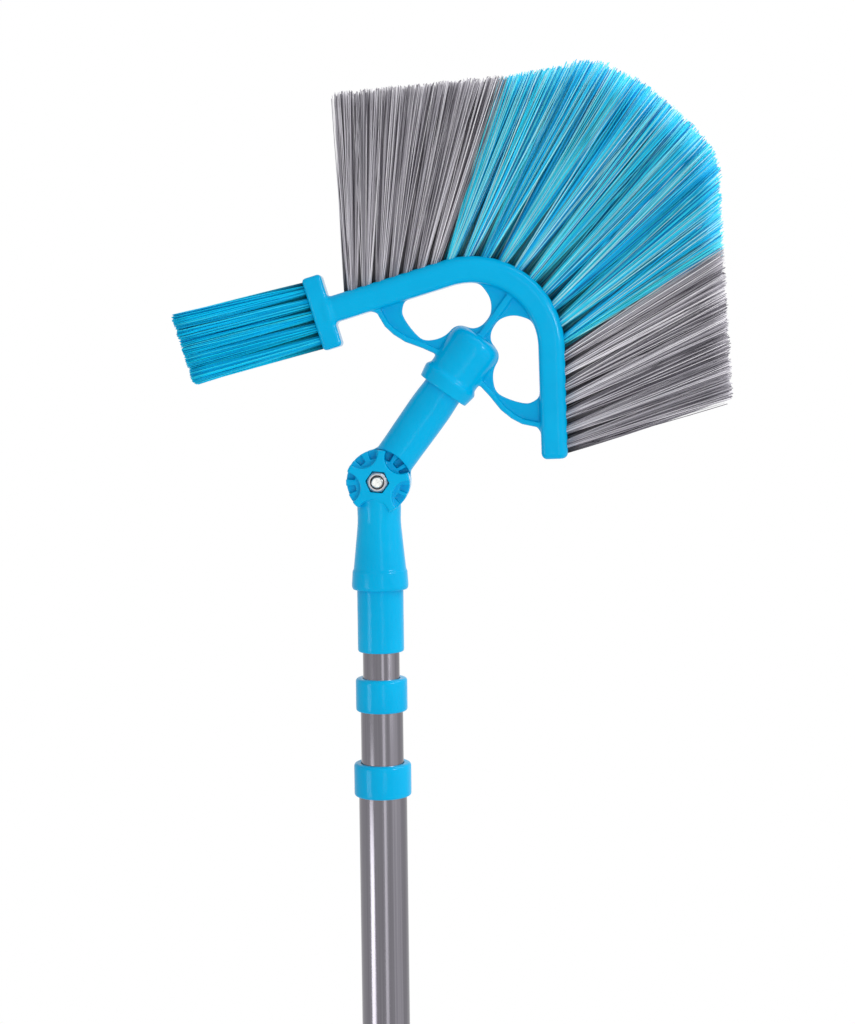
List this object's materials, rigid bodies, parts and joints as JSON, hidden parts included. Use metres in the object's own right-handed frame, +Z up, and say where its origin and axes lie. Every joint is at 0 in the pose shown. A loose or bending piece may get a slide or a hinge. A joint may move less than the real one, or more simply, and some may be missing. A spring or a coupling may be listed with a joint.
{
  "type": "telescopic ceiling broom",
  "caption": "Long-reach ceiling and cobweb broom: a bristle fan and a corner brush on a tilting head, on a twist-lock telescopic pole.",
  "frame": {"origin": "the middle of the hand grip, on the pole's axis", "axes": "+Z up the pole towards the head, +X towards the side the head leans to, -Y towards the front, where the elbow's nut shows"},
  "size_m": [0.2839, 0.0439, 1.1924],
  "materials": {
    "steel": "brushed along the tube",
    "blue_plastic": "moulded, glossy",
    "grip": "matt",
    "nylon": "moulded",
    "zinc": "zinc plated",
    "grey_strand": "crimped filament",
    "blue_strand": "filament"
  },
  "bodies": {
    "outer_pole": {"outer_tube": "steel", "lower_collar": "blue_plastic", "hand_grip": "grip", "grip_end_cap": "blue_plastic"},
    "lower_ring": {"lower_cam_ring": "nylon"},
    "middle_pole": {"middle_tube": "steel", "upper_collar": "blue_plastic", "lower_cam_plug": "nylon"},
    "upper_ring": {"upper_cam_ring": "nylon"},
    "inner_pole": {"inner_tube": "steel", "pole_tip": "blue_plastic", "upper_cam_plug": "nylon"},
    "elbow": {"lower_knuckle": "blue_plastic", "lock_nut": "zinc"},
    "clamp_washer": {"lock_washer": "zinc"},
    "clamp_screw": {"lock_bolt": "zinc", "lock_knob": "blue_plastic"},
    "head": {"upper_knuckle": "blue_plastic", "head_frame": "blue_plastic", "grey_bristles_left": "grey_strand", "blue_bristles": "blue_strand", "grey_bristles_right": "grey_strand", "corner_bristles": "blue_strand"}
  },
  "joints": [
    {"name": "lower_pole_slide", "type": "slide", "parent": "outer_pole", "child": "lower_ring", "axis": [0, 0, 1], "range_m": [-0.027, 0.6]},
    {"name": "lower_twist_lock", "type": "hinge", "parent": "lower_ring", "child": "middle_pole", "pos_m": [0, 0, 0.0079], "axis": [0, 0, 1], "range_deg": [0, 100]},
    {"name": "upper_pole_slide", "type": "slide", "parent": "middle_pole", "child": "upper_ring", "axis": [0, 0, 1], "range_m": [-0.0135, 0.56]},
    {"name": "upper_twist_lock", "type": "hinge", "parent": "upper_ring", "child": "inner_pole", "pos_m": [0, 0, 0.0947], "axis": [0, 0, 1], "range_deg": [0, 100]},
    {"name": "head_lift_off", "type": "slide", "parent": "inner_pole", "child": "elbow", "axis": [0, 0, 1], "range_m": [0, 0.03]},
    {"name": "lock_washer_travel", "type": "slide", "parent": "elbow", "child": "clamp_washer", "axis": [0, 1, 0], "range_m": [0, 0.002]},
    {"name": "lock_knob_turn", "type": "hinge", "parent": "clamp_washer", "child": "clamp_screw", "pos_m": [0, 0.0195, 0.8846], "axis": [0, 1, 0], "range_deg": [0, 720]},
    {"name": "head_tilt", "type": "hinge", "parent": "elbow", "child": "head", "pos_m": [0, 0, 0.8846], "axis": [0, 1, 0], "range_deg": [-108, 54]}
  ],
  "couplings": [
    {"joint": "lock_knob_turn", "follows": "lock_washer_travel", "rad_per_m": 6283.2}
  ]
}
